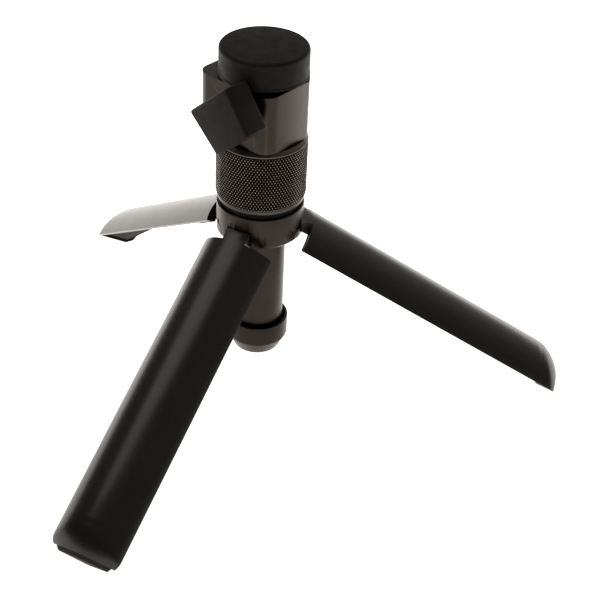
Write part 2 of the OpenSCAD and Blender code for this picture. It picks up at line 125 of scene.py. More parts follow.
def soften(obj, width, segments=2):
    """Rounds every sharp edge, width millimetres wide."""
    bevel = obj.modifiers.new("soft_edges", "BEVEL")
    bevel.width = width * MM
    bevel.segments = segments
    bevel.limit_method = "ANGLE"
    bevel.angle_limit = math.radians(SHARP_ANGLE)
    bevel.harden_normals = True
    bevel.miter_outer = "MITER_ARC"
    return obj


def soft_copy(node, name, width, segments=2):
    """A copy of a CAD node's shape with its edges rounded."""
    bm = bmesh.new()
    bm.from_mesh(frame["nodes"][node].data)
    bmesh.ops.scale(bm, vec=(1 / MM,) * 3, verts=bm.verts)
    bmesh.ops.remove_doubles(bm, verts=bm.verts, dist=WELD_DISTANCE)
    bmesh.ops.dissolve_limit(
        bm, angle_limit=math.radians(FLAT_ANGLE), verts=bm.verts, edges=bm.edges)
    return soften(finish_mesh(name, bm), width, segments)


def rounded_outline(corners):
    """A closed outline with each corner (r, z, fillet radius) turned into an arc."""
    points = []
    count = len(corners)
    for i, (r, z, fillet) in enumerate(corners):
        here = Vector((r, z))
        if fillet <= 0:
            points.append(here)
            continue
        back = (Vector(corners[i - 1][:2]) - here).normalized()
        ahead = (Vector(corners[(i + 1) % count][:2]) - here).normalized()
        half = math.acos(max(-1, min(1, back.dot(ahead)))) / 2
        run = fillet / math.tan(half)
        centre = here + (back + ahead).normalized() * fillet / math.sin(half)
        start = here + back * run - centre
        turn = start.angle_signed(here + ahead * run - centre)
        for k in range(FILLET_STEPS + 1):
            a = -turn * k / FILLET_STEPS
            x = start.x * math.cos(a) - start.y * math.sin(a)
            y = start.x * math.sin(a) + start.y * math.cos(a)
            points.append(centre + Vector((x, y)))
    return points


def lathe(name, corners):
    """A closed outline of (r, z, fillet radius) corners turned about the axis."""
    bm = bmesh.new()
    rings = []
    for p in rounded_outline(corners):
        if p.x < ON_AXIS:
            rings.append([bm.verts.new((0, 0, p.y))] * LATHE_SEGMENTS)
        else:
            rings.append([bm.verts.new(on_circle(p.x, way, p.y)) for way in full_turn(LATHE_SEGMENTS)])
    for a, b in zip(rings, rings[1:] + rings[:1]):
        for s in range(LATHE_SEGMENTS):
            after = (s + 1) % LATHE_SEGMENTS
            face = list(dict.fromkeys([a[s], a[after], b[after], b[s]]))
            if len(face) > 2:
                bm.faces.new(face)
    return finish_mesh(name, bm)


def add_grid(bm, rows, closed=False):
    """Quads between rows of vertices."""
    for a, b in zip(rows, rows[1:]):
        count = len(a) if closed else len(a) - 1
        for i in range(count):
            bm.faces.new([a[i], a[(i + 1) % len(a)], b[(i + 1) % len(b)], b[i]])


# ---------------------------------------------------------------- legs
# Sizes of a closed leg in millimetres: x is outward from the axis and z is up from the hinge pin.

HALF_SECTOR = math.radians(60)
LEG_WALL = 1.7
LEG_SIDE_GAP = 0.3
ROOT_Z = -6.2
TIP_CURVE_R = 20
TIP_CURVE_Z = TIP_Z + 12
CREST_SHIFT = 8
CREASE = 0.3
CREASE_REACH = 6
CREASE_RUN_IN = 2
PLATE_T = 1.5
PLATE_APEX_X = 1.3
FOOT_APEX_X = 1.6
FOOT_INSET = 0.6
FOOT_RECESS = 1
TAB_HALF_W = 4.4
TAB_CORNER_Z = -3.4
TAB_TOE_Z = -15.5
TAB_HEEL = (10.4, -9.6)
PIN_BORE_R = 1.3
LEG_EDGE = 0.28
LEG_EDGE_SEGMENTS = 3
TAB_COLUMNS = 16
SIDE_COLUMNS = 30
STRAIGHT_ROWS = 8
CURVE_ROWS = 20
BOSS_STEPS = 20
PIN_BORE_STEPS = 32


def crest_x(z, depth):
    """How far out the crest of a leg's skin lies at height z, depth below the outer surface."""
    if z >= TIP_CURVE_Z:
        return LEG_R - depth
    return LEG_R - TIP_CURVE_R + math.sqrt((TIP_CURVE_R - depth) ** 2 - (z - TIP_CURVE_Z) ** 2)


def skin_point(r, way, z, crest):
    """A point on a round skin, pulled in to the tip's curve with a softened crease."""
    curve_r = crest + CREST_SHIFT
    limit = math.sqrt(curve_r ** 2 - (CREST_SHIFT * math.sin(way)) ** 2) - CREST_SHIFT * math.cos(way)
    over = (r - limit) / CREASE
    if over > -CREASE_REACH:
        pull = min(1, max(0, TIP_CURVE_Z - z) / CREASE_RUN_IN)
        r -= CREASE * math.log1p(math.exp(over)) * pull
    return on_circle(r, way, z)


def half_angle(r, gap):
    """How far round a leg reaches at radius r, when its sides keep gap from the planes beside it."""
    return HALF_SECTOR - math.asin(gap / r)


def apex_half_width(apex_x, gap):
    """Half the blunt inner edge at apex_x, when the sides keep gap from the planes beside the leg."""
    return (apex_x - gap / math.sin(HALF_SECTOR)) * math.tan(HALF_SECTOR)


def column_angles(r):
    """Angles of the columns across a leg, with the tab's two sides exactly on a column."""
    edge = half_angle(r, LEG_SIDE_GAP)
    tab = math.asin(TAB_HALF_W / r)
    left = spread(-edge, -tab, SIDE_COLUMNS)[:-1]
    right = spread(tab, edge, SIDE_COLUMNS)[1:]
    return left + spread(-tab, tab, TAB_COLUMNS) + right


def tangent_way(point, centre, r, side):
    """Direction, from a circle's centre, of the place where a line from point touches it."""
    d = Vector(point) - Vector(centre)
    return math.atan2(d.y, d.x) + side * math.acos(r / d.length)


def build_channel(name, matrix):
    """One leg: a curved channel with an end plate, a rim for the foot and a bored hinge tab."""
    bm = bmesh.new()
    first = SIDE_COLUMNS
    last = SIDE_COLUMNS + TAB_COLUMNS
    outer_ways = column_angles(LEG_R)
    inner_ways = column_angles(LEG_R - LEG_WALL)
    plate_top = TIP_Z + PLATE_T
    straight = [ROOT_Z, TAB_TOE_Z] + spread(TAB_TOE_Z, TIP_CURVE_Z, STRAIGHT_ROWS)[1:]
    inner_heights = straight + spread(TIP_CURVE_Z, plate_top, CURVE_ROWS)[1:]
    outer_heights = inner_heights + [plate_top - PLATE_T / 2, TIP_Z]

    def arc(ways, z, depth):
        return [bm.verts.new(skin_point(LEG_R - depth, w, z, crest_x(z, depth))) for w in ways]

    outer = [arc(outer_ways, z, 0) for z in outer_heights]
    inner = [arc(inner_ways, z, LEG_WALL) for z in inner_heights]
    add_grid(bm, outer)
    add_grid(bm, inner[1:])
    for i in [k for k in range(len(outer_ways) - 1) if not first <= k < last]:
        bm.faces.new([inner[0][i], inner[0][i + 1], inner[1][i + 1], inner[1][i]])
        bm.faces.new([outer[0][i], outer[0][i + 1], inner[0][i + 1], inner[0][i]])
    for column in (0, -1):
        for k in range(len(inner) - 1):
            bm.faces.new([
                outer[k][column], outer[k + 1][column], inner[k + 1][column], inner[k][column]])

    # the end plate, from the curved skin in to a blunt edge near the axis
    flat = apex_half_width(PLATE_APEX_X, LEG_SIDE_GAP)
    apex = {z: [bm.verts.new((PLATE_APEX_X, y, z)) for y in (-flat, flat)] for z in (plate_top, TIP_Z)}
    for column, side in ((0, 0), (-1, 1)):
        bm.faces.new([row[column] for row in outer[len(inner) - 1:]]
                     + [apex[TIP_Z][side], apex[plate_top][side], inner[-1][column]])
    bm.faces.new(apex[plate_top] + apex[TIP_Z][::-1])
    bm.faces.new(inner[-1] + apex[plate_top][::-1])

    # the rim round the foot, and the recess that the foot sits in
    rim_gap = LEG_SIDE_GAP + FOOT_INSET
    rim_r = LEG_R - FOOT_INSET
    rim_flat = apex_half_width(FOOT_APEX_X, rim_gap)
    rim_half = half_angle(rim_r, rim_gap)
    rims = []
    for z in (TIP_Z, TIP_Z + FOOT_RECESS):
        rim = [bm.verts.new(skin_point(rim_r, w * rim_half / outer_ways[-1], z, crest_x(z, FOOT_INSET)))
               for w in outer_ways]
        rims.append(rim + [bm.verts.new((FOOT_APEX_X, y, z)) for y in (rim_flat, -rim_flat)])
    add_grid(bm, [outer[-1] + apex[TIP_Z][::-1]] + rims, closed=True)
    bm.faces.new(rims[-1])

    # the hinge tab: the outer skin carried on up to a round boss, and a heel inside the channel
    pin = (PIN.x, 0)
    top_way = tangent_way((LEG_R, TAB_CORNER_Z), pin, BOSS_R, 1)
    heel_way = tangent_way(TAB_HEEL, pin, BOSS_R, -1)
    boss = [(pin[0] + BOSS_R * math.cos(w), BOSS_R * math.sin(w))
            for w in spread(top_way, heel_way + math.tau, BOSS_STEPS)]
    ys = [v.co.y for v in outer[0][first:last + 1]]
    rows = [outer[0][first:last + 1],
            [bm.verts.new((math.sqrt(LEG_R ** 2 - y ** 2), y, TAB_CORNER_Z)) for y in ys]]
    rows += [[bm.verts.new((x, y, z)) for y in ys] for x, z in boss + [TAB_HEEL]]
    rows.append(inner[1][first:last + 1])
    add_grid(bm, rows)

    # the tab's two sides, in the darker look, each with its end of the pin's bore
    bores = []
    for column, y, root in ((0, -TAB_HALF_W, inner[0][first]), (-1, TAB_HALF_W, inner[0][last])):
        bore = [bm.verts.new((pin[0] + PIN_BORE_R * math.cos(w), y, PIN_BORE_R * math.sin(w)))
                for w in full_turn(PIN_BORE_STEPS)]
        bores.append(bore)
        loop = [row[column] for row in rows] + [root]
        edges = []
        for ring in (loop, bore):
            for a, b in zip(ring, ring[1:] + ring[:1]):
                edges.append(bm.edges.get((a, b)) or bm.edges.new((a, b)))
        filled = bmesh.ops.triangle_fill(bm, edges=edges, use_beauty=True, normal=(0, 1, 0))["geom"]
        for face in (item for item in filled if isinstance(item, bmesh.types.BMFace)):
            face.material_index = 1
    add_grid(bm, bores, closed=True)

    bmesh.ops.translate(bm, verts=bm.verts, vec=(0, 0, PIN.z))
    obj = finish_mesh(name, bm)
    obj.data.transform(matrix)
    return soften(obj, LEG_EDGE, LEG_EDGE_SEGMENTS)


# ---------------------------------------------------------------- lock ring

KNURL_AROUND = 90
KNURL_ROWS = 11
KNURL_FLAT = 0.2
KNURL_DEPTH = 0.58
KNURL_ABOVE_BAND = 0.35
KNURL_BELOW_NECK = 0.4
LAND_STEP = 0.02
LAND_ABOVE_BAND = 0.12
LAND_IN_BAND = 0.1
LAND_BELOW_NECK = (0.2, 0.08)
BAND_INSET = 0.5
BAND_H = 1.75
BAND_CHAMFER = 0.3
NECK_INSET = 0.6
NECK_H = 0.35
WEB_R = 9.05
WEB_H = 1.65
RING_BORE_R = 12.5
KNURL_SHARP_ANGLE = 20


def knurled_band(bm, r_low, r_high, z_low, z_high):
    """Raised diamonds between crossed grooves. Returns the lower and upper edge loops."""
    pitch_z = (z_high - z_low) / KNURL_ROWS
    columns = 2 * KNURL_AROUND
    last = 2 * KNURL_ROWS
    lattice = {}

    def groove(i, j):
        key = (i % columns, j)
        if key not in lattice:
            way = math.pi * key[0] / KNURL_AROUND
            lattice[key] = bm.verts.new(on_circle(r_low, way, z_low + pitch_z * j / 2))
        return lattice[key]

    def crest(i, j, di, dj):
        way = math.pi * (i + KNURL_FLAT * di) / KNURL_AROUND
        return bm.verts.new(on_circle(r_high, way, z_low + pitch_z * (j + KNURL_FLAT * dj) / 2))

    edges = {0: [None] * columns, last: [None] * columns}
    for j in range(last + 1):
        for i in range(columns):
            if (i + j) % 2 == 0:
                if j in edges:
                    edges[j][i] = [groove(i, j)]
                continue
            ways = [(1, 0), (0, 1), (-1, 0), (0, -1)]
            if j == 0:
                ways = ways[:3]
            elif j == last:
                ways = [ways[2], ways[3], ways[0]]
            low = [groove(i + di, j + dj) for di, dj in ways]
            top = [crest(i, j, di, dj) for di, dj in ways]
            whole = len(ways) == 4
            for k in range(4 if whole else 2):
                bm.faces.new([low[k], low[(k + 1) % len(low)], top[(k + 1) % len(top)], top[k]])
            bm.faces.new(top)
            if not whole:
                edges[j][i] = [top[2], top[0]] if j == 0 else [top[0], top[2]]
    return [[v for group in edges[j] for v in group] for j in (0, last)]


def loop_at(bm, loop, r, z):
    """A loop at radius r and height z, with a vertex in the direction of each vertex of loop."""
    return [bm.verts.new(on_circle(r, math.atan2(v.co.y, v.co.x), z)) for v in loop]


def build_lock_ring(name):
    """A knurled band between a plain band and a narrow neck, with a web that rides on the spindle."""
    low, high = mm_box("lock_ring")
    crest_r = radius_of("lock_ring")
    groove_r = crest_r - KNURL_DEPTH
    land_r = groove_r - LAND_STEP
    band_r = crest_r - BAND_INSET
    neck_r = crest_r - NECK_INSET
    band_z = low.z + BAND_H
    neck_z = high.z - NECK_H
    web_z = low.z + WEB_H
    bm = bmesh.new()
    bottom, top = knurled_band(
        bm, groove_r, crest_r, band_z + KNURL_ABOVE_BAND, neck_z - KNURL_BELOW_NECK)
    downward = [
        (land_r, band_z + LAND_ABOVE_BAND),
        (land_r, band_z - LAND_IN_BAND),
        (band_r, band_z - BAND_CHAMFER),
        (band_r, low.z + BAND_CHAMFER),
        (band_r - BAND_CHAMFER, low.z),
        (WEB_R, low.z),
        (WEB_R, web_z),
        (RING_BORE_R, web_z)]
    upward = [
        (land_r, neck_z - LAND_BELOW_NECK[0]),
        (land_r, neck_z - LAND_BELOW_NECK[1]),
        (neck_r, neck_z),
        (neck_r, high.z),
        (RING_BORE_R, high.z)]
    below = [bottom] + [loop_at(bm, bottom, r, z) for r, z in downward]
    above = [top] + [loop_at(bm, top, r, z) for r, z in upward]
    add_grid(bm, below, closed=True)
    add_grid(bm, above, closed=True)
    add_grid(bm, [below[-1], above[-1]], closed=True)
    return finish_mesh(name, bm, KNURL_SHARP_ANGLE)


# ---------------------------------------------------------------- turned parts
# Each outline row is (radius, height, fillet radius) in millimetres.

def build_bevel_ring(name):
    """A thin ring with a sloping upper face."""
    low, high = mm_box("bevel_ring")
    outer = radius_of("bevel_ring")
    side_h = 0.35
    slope_w = 1.1
    return lathe(name, [
        (RING_BORE_R, low.z, 0.1),
        (outer, low.z, 0.1),
        (outer, low.z + side_h, 0.15),
        (outer - slope_w, high.z, 0.12),
        (RING_BORE_R, high.z, 0.1)])


def build_spacer(name):
    """A plain ring."""
    low, high = mm_box("spacer_ring")
    outer = radius_of("spacer_ring")
    bore_r = 9.1
    return lathe(name, [
        (bore_r, low.z, 0),
        (outer, low.z, 0.25),
        (outer, high.z, 0.25),
        (bore_r, high.z, 0)])


def build_column(name):
    """A tube whose upper end steps in to enter the hub."""
    low, high = mm_box("column_tube")
    outer = radius_of("column_tube")
    shoulder_z = mm_box("hub")[0].z
    ledge_z = shoulder_z + 1.85
    bore_r = 7.4
    neck_r = 8.6
    neck_bore_r = 6.05
    return lathe(name, [
        (bore_r, low.z, 0.1),
        (outer, low.z, 0.1),
        (outer, shoulder_z, 0.05),
        (neck_r, shoulder_z, 0.05),
        (neck_r, high.z, 0.2),
        (neck_bore_r, high.z, 0.1),
        (neck_bore_r, ledge_z, 0.05),
        (bore_r, ledge_z, 0.05)])


def build_foot_ring(name):
    """A cup round the column's lower end, grooved inside its lip and tapered below."""
    low, high = mm_box("foot_ring")
    outer = radius_of("foot_ring")
    inner = radius_of("column_tube") + 0.03
    hole_r = 6.38
    base_r = 8.5
    taper_h = 5.4
    lip_w = 1
    groove_z = high.z - 3
    floor_z = low.z + 2.05
    return lathe(name, [
        (hole_r, low.z, 0.08),
        (base_r, low.z, 0.3),
        (outer, low.z + taper_h, 1.2),
        (outer, high.z, 0.35),
        (outer - lip_w, high.z, 0.2),
        (outer - lip_w, groove_z, 0.15),
        (inner, groove_z, 0),
        (inner, floor_z, 0),
        (hole_r, floor_z, 0)])


def build_end_plug(name):
    """A stepped plug with a dimple in its lower face."""
    low, high = mm_box("end_plug")
    dimple_z = low.z + 0.25
    dimple_r = 1.1
    dimple_rim_r = 1.5
    disc_r = 6.35
    body_r = 7.37
    body_z = high.z - 6
    return lathe(name, [
        (0, dimple_z, 0),
        (dimple_r, dimple_z, 0.1),
        (dimple_rim_r, low.z, 0.1),
        (disc_r, low.z, 0.25),
        (disc_r, body_z, 0),
        (body_r, body_z, 0.1),
        (body_r, high.z, 0.4),
        (0, high.z, 0)])


def build_cap(name):
    """A hollow cap with a fine bead round its foot and a faintly crowned top."""
    low, high = mm_box("screw_cap")
    outer = radius_of("screw_cap")
    mouth_r = radius_of("camera_platform") + 0.08
    ledge_z = mm_box("camera_platform")[1].z + 0.1
    side_r = outer - 0.25
    bead_z = low.z + 0.3
    bead_top = low.z + 1
    crown_r = 4
    crown_step = 0.02
    cavity_r = 12.5
    roof_z = high.z - 1.55
    return lathe(name, [
        (mouth_r, low.z, 0.12),
        (outer, low.z, 0.15),
        (outer, bead_z, 0.15),
        (side_r, bead_top, 0.6),
        (side_r, high.z, 1.25),
        (crown_r, high.z - crown_step, 2),
        (0, high.z - 2 * crown_step, 0),
        (0, roof_z, 0),
        (cavity_r, roof_z, 0.5),
        (cavity_r, ledge_z, 0.1),
        (mouth_r, ledge_z, 0.1)])


def build_platform(name):
    """A disc on a post, with a groove in the post that the clamp's tip enters."""
    low, high = mm_box("camera_platform")
    outer = radius_of("camera_platform")
    screw_low, screw_high = mm_box("knob_screw")
    groove_z = (screw_low.z + screw_high.z) / 2
    groove_half = 2.8
    groove_r = 5.6
    post_r = 6.45
    bore_r = 2.82
    disc_z = high.z - 3
    return lathe(name, [
        (bore_r, low.z, 0.1),
        (post_r, low.z, 0.4),
        (post_r, groove_z - groove_half, 0.05),
        (groove_r, groove_z - groove_half, 0.3),
        (groove_r, groove_z + groove_half, 0.3),
        (post_r, groove_z + groove_half, 0.05),
        (post_r, disc_z, 0.2),
        (outer, disc_z, 0.25),
        (outer, high.z, 0.3),
        (bore_r, high.z, 0.1)])


def build_pad(name):
    """A flat ring with circular grooves in its upper face."""
    low, high = mm_box("platform_pad")
    outer = radius_of("platform_pad")
    bore_r = 4.375
    groove_count = 4
    groove_pitch = 1.5
    groove_edge = 1.6
    groove_slope = 0.1
    groove_w = 0.6
    groove_z = high.z - 0.3
    corners = [(bore_r, low.z, 0), (outer, low.z, 0), (outer, high.z, 0.2)]
    for k in range(groove_count):
        r = outer - groove_edge - groove_pitch * k
        corners += [
            (r, high.z, 0.06),
            (r - groove_slope, groove_z, 0.06),
            (r - groove_w + groove_slope, groove_z, 0.06),
            (r - groove_w, high.z, 0.06)]
    return lathe(name, corners + [(bore_r, high.z, 0.15)])


STUD_PITCH = 1.27
STUD_DEPTH = 0.69
STUD_TOOTH_SLOPE = 2.6
STUD_CREST_FLAT = 0.12
STUD_FADE_TOP = 0.9
STUD_RUN_OUT = 0.15
STUD_FADE_ROOT = 0.4
STUD_SHANK_R = 2.8
STUD_SHANK_GAP = 0.01
STUD_TIP_R = 2.1
STUD_TIP_H = 0.5
STUD_AROUND = 48
STUD_STEPS_PER_TURN = 16
STUD_SHARP_ANGLE = 40


def build_stud(name):
    """The camera screw with a real quarter-inch thread of 20 turns an inch."""
    low, high = mm_box("camera_stud")
    crest = radius_of("camera_stud")
    root_z = mm_box("camera_platform")[1].z
    tip_z = high.z - STUD_TIP_H
    bm = bmesh.new()
    rows = []

    def ring(z, radius_at):
        rows.append([bm.verts.new(on_circle(radius_at(way, z), way, z)) for way in full_turn(STUD_AROUND)])

    def thread_r(way, z):
        phase = (z / STUD_PITCH - way / math.tau) % 1
        cut = min(1, max(0, STUD_TOOTH_SLOPE * abs(phase - 0.5) - STUD_CREST_FLAT))
        fade_top = max(0, (high.z - STUD_RUN_OUT - z) / STUD_FADE_TOP)
        fade_root = max(0, (z - root_z) / STUD_FADE_ROOT)
        fade = min(1, fade_top, fade_root)
        return crest - STUD_DEPTH * (1 - (1 - cut) * fade)

    ring(low.z, lambda way, z: STUD_SHANK_R)
    ring(root_z - STUD_SHANK_GAP, lambda way, z: STUD_SHANK_R)
    count = int((tip_z - root_z) / STUD_PITCH * STUD_STEPS_PER_TURN)
    for z in spread(root_z, tip_z, count):
        ring(z, thread_r)
    ring(high.z, lambda way, z: STUD_TIP_R)
    add_grid(bm, rows, closed=True)
    bm.faces.new(rows[0])
    bm.faces.new(rows[-1])
    return finish_mesh(name, bm, STUD_SHARP_ANGLE)


# ---------------------------------------------------------------- clamp knob
# Sizes in millimetres in the knob's own frame, whose z runs outward from the column's axis.

KNOB_TILT = math.radians(41)
PADDLE_SHIFT = 6.1
PADDLE_LONG = 21.7
PADDLE_SHORT = 18.4
PADDLE_W = 17.3
PADDLE_T = 10
PADDLE_BACK = 16.5
PADDLE_EDGE = 1.15
PADDLE_EDGE_SEGMENTS = 5
FACET_Z = 13.2
KNOB_BOSS_R = 6.8
KNOB_BOSS_EDGE = 0.3
KNOB_BOSS_GAP = 0.3
KNOB_BOSS_SINK = 0.5
KNOB_BOSS_STEPS = 72
KNOB_SHARP_ANGLE = 35


def build_knob(name):
    """A tapered paddle off to one side of a round boss."""
    joint = JOINTS["knob_turn"]
    pos = Vector(joint["pos_m"]) / MM
    out = Vector(joint["axis"]).normalized()
    up = Vector((0, 0, 1))
    along = up.cross(out)
    place = Matrix((along, up, out)).transposed().to_4x4()
    place.translation = pos - out * FACET_Z
    place = place @ Matrix.Rotation(KNOB_TILT, 4, "Z")

    bm = bmesh.new()
    half_w = PADDLE_W / 2
    outline = [
        (PADDLE_SHORT / 2, -half_w),
        (PADDLE_LONG / 2, half_w),
        (-PADDLE_LONG / 2, half_w),
        (-PADDLE_SHORT / 2, -half_w)]
    rings = [[bm.verts.new((x + PADDLE_SHIFT, y, z)) for x, y in outline]
             for z in (PADDLE_BACK, PADDLE_BACK + PADDLE_T)]
    add_grid(bm, rings, closed=True)
    bm.faces.new(rings[0][::-1])
    bm.faces.new(rings[1])
    bmesh.ops.bevel(
        bm, geom=list(bm.edges), offset=PADDLE_EDGE, segments=PADDLE_EDGE_SEGMENTS, profile=0.5,
        affect="EDGES", clamp_overlap=True)

    boss_z = FACET_Z + KNOB_BOSS_GAP
    boss = [
        (KNOB_BOSS_R - KNOB_BOSS_EDGE, boss_z),
        (KNOB_BOSS_R, boss_z + KNOB_BOSS_EDGE),
        (KNOB_BOSS_R, PADDLE_BACK + KNOB_BOSS_SINK)]
    boss_rows = [[bm.verts.new(on_circle(r, way, z)) for way in full_turn(KNOB_BOSS_STEPS)]
                 for r, z in boss]
    add_grid(bm, boss_rows, closed=True)
    bm.faces.new(boss_rows[0][::-1])
    bm.faces.new(boss_rows[-1])
    bmesh.ops.transform(bm, matrix=place, verts=bm.verts)
    return finish_mesh(name, bm, KNOB_SHARP_ANGLE)


# ---------------------------------------------------------------- materials

class Shader:
    """A Principled material with a few helpers for procedural detail in object space."""

    def __init__(self, name):
        self.material = bpy.data.materials.new(name)
        self.material.use_nodes = True
        self.tree = self.material.node_tree
        self.bsdf = self.tree.nodes["Principled BSDF"]
        self.coords = self.tree.nodes.new("ShaderNodeTexCoord").outputs["Object"]

    def link(self, a, b):
        self.tree.links.new(a, b)

    def stretched(self, x, y, z):
        """Object coordinates scaled along each axis."""
        node = self.tree.nodes.new("ShaderNodeMapping")
        node.inputs["Scale"].default_value = (x, y, z)
        self.link(self.coords, node.inputs["Vector"])
        return node.outputs["Vector"]

    def noise(self, size_mm, detail=3.0, roughness=0.55, coords=None):
        """Cloudy noise whose features are about size_mm across."""
        node = self.tree.nodes.new("ShaderNodeTexNoise")
        node.inputs["Scale"].default_value = 1 / (size_mm * MM)
        node.inputs["Detail"].default_value = detail
        node.inputs["Roughness"].default_value = roughness
        self.link(coords or self.coords, node.inputs["Vector"])
        return node.outputs["Fac"]

    def remap(self, value, low, high, start=0.3, end=0.7):
        """Runs from low to high while value runs from start to end."""
        node = self.tree.nodes.new("ShaderNodeMapRange")
        for socket, number in (("From Min", start), ("From Max", end), ("To Min", low), ("To Max", high)):
            node.inputs[socket].default_value = number
        self.link(value, node.inputs["Value"])
        return node.outputs["Result"]

    def combine(self, operation, a, b):
        """A maths node on two values, each a number or another node's output."""
        node = self.tree.nodes.new("ShaderNodeMath")
        node.operation = operation
        for socket, value in zip(node.inputs, (a, b)):
            if isinstance(value, (int, float)):
                socket.default_value = value
            else:
                self.link(value, socket)
        return node.outputs[0]

    def mix(self, factor, a, b):
        """Colour a where factor is 0 and colour b where it is 1."""
        node = self.tree.nodes.new("ShaderNodeMix")
        node.data_type = "RGBA"
        for socket, value in ((node.inputs["Factor"], factor), (node.inputs[6], a), (node.inputs[7], b)):
            if isinstance(value, tuple):
                socket.default_value = (*value, 1)
            elif isinstance(value, (int, float)):
                socket.default_value = value
            else:
                self.link(value, socket)
        return node.outputs[2]

    def axis_distance(self):
        """Distance from the object's upright axis, in metres."""
        node = self.tree.nodes.new("ShaderNodeVectorMath")
        node.operation = "LENGTH"
        self.link(self.stretched(1, 1, 0), node.inputs[0])
        return node.outputs["Value"]

    def worn_edges(self, start=0.52, end=0.62):
        """From 0 on flats and in hollows to 1 on sharp outer edges."""
        geometry = self.tree.nodes.new("ShaderNodeNewGeometry")
        return self.remap(geometry.outputs["Pointiness"], 0, 1, start, end)

    def surface(self, colour, roughness, bump_height, bump_mm, strength, **fixed):
        """Wires the material up. A socket named in fixed gets the same value everywhere."""
        self.link(colour, self.bsdf.inputs["Base Color"])
        self.link(roughness, self.bsdf.inputs["Roughness"])
        bump = self.tree.nodes.new("ShaderNodeBump")
        bump.inputs["Distance"].default_value = bump_mm * MM
        bump.inputs["Strength"].default_value = strength
        self.link(bump_height, bump.inputs["Height"])
        self.link(bump.outputs["Normal"], self.bsdf.inputs["Normal"])
        for socket, value in fixed.items():
            self.bsdf.inputs[socket.replace("_", " ")].default_value = value
        return self.material


GRAIN_MM = 0.12


def brighter(colour, factor):
    """A colour times factor, held at or below 1."""
    return tuple(min(1, c * factor) for c in colour)


def anodised(name, dark, pale, metallic, rough_low, rough_high, turned=0.0):
    """Bead-blasted and dyed aluminium, with faint lathe lines where turned is above 0."""
    s = Shader(name)
    cloud = s.noise(14, 3)
    speck = s.noise(GRAIN_MM * 2.5, 2)
    tone = s.combine("ADD", s.remap(cloud, 0, 0.6), s.remap(speck, 0, 0.4))
    colour = s.mix(tone, dark, pale)
    colour = s.mix(s.combine("MULTIPLY", s.worn_edges(), 0.35), colour, brighter(pale, 1.9))
    smear = s.noise(5, 4, 0.6, s.stretched(1, 1, 0.35))
    roughness = s.remap(smear, rough_low, rough_high)
    height = s.noise(GRAIN_MM, 2)
    if turned:
        lines = s.noise(0.22, 1, 0.5, s.stretched(0.02, 0.02, 1))
        height = s.combine("ADD", height, s.combine("MULTIPLY", lines, turned))
    return s.surface(
        colour, roughness, height, 0.012, 0.35, Metallic=metallic, Specular_IOR_Level=0.5)


def knurled(name, dark, pale, crest_highlight_colour, crest_r, rough_low, rough_high):
    """Dyed aluminium whose knurled crests, crest_r metres from the axis, carry a painted highlight."""
    s = Shader(name)
    tone = s.mix(s.remap(s.noise(6, 3), 0, 1), dark, pale)
    # Painted highlight: the crests fade to a pale colour, broken up by noise, in place of light caught by
    # the pyramids' tops.
    crest_highlight = s.remap(s.axis_distance(), 0, 1, crest_r - 0.25 * MM, crest_r - 0.03 * MM)
    crest_highlight = s.combine("MULTIPLY", crest_highlight, s.remap(s.noise(3, 3), 0.55, 1.0))
    colour = s.mix(crest_highlight, tone, crest_highlight_colour)
    roughness = s.remap(s.noise(4, 3), rough_low, rough_high)
    return s.surface(colour, roughness, s.noise(GRAIN_MM, 2), 0.01, 0.3, Metallic=1.0)


def moulded(name, dark, pale, rough_low, rough_high, grain, bump_mm, strength, specular, sheen=0.0):
    """Moulded rubber or plastic with a fine matt texture and a trace of handling dust."""
    s = Shader(name)
    cloud = s.noise(9, 4)
    dust = s.noise(0.9, 3, 0.7)
    tone = s.combine("ADD", s.remap(cloud, 0, 0.65), s.remap(dust, 0, 0.35, 0.45, 0.75))
    colour = s.mix(tone, dark, pale)
    colour = s.mix(s.combine("MULTIPLY", s.worn_edges(0.51, 0.6), 0.3), colour, brighter(pale, 1.7))
    roughness = s.remap(s.noise(3, 3), rough_low, rough_high)
    coarse = s.combine("MULTIPLY", s.noise(grain * 6, 2), 0.5)
    height = s.combine("ADD", s.noise(grain, 2), coarse)
    return s.surface(
        colour, roughness, height, bump_mm, strength, Specular_IOR_Level=specular,
        Sheen_Weight=sheen, Sheen_Roughness=0.5)


def turned_metal(name, dark, pale, rough_low, rough_high):
    """Bright turned steel or brass."""
    s = Shader(name)
    lines = s.noise(0.15, 2, 0.5, s.stretched(0.05, 0.05, 1))
    colour = s.mix(s.remap(s.noise(4, 3), 0, 1), dark, pale)
    streaks = s.combine("MULTIPLY", s.combine("ADD", lines, s.noise(2, 3)), 0.5)
    roughness = s.remap(streaks, rough_low, rough_high)
    return s.surface(colour, roughness, lines, 0.01, 0.3, Metallic=1.0)


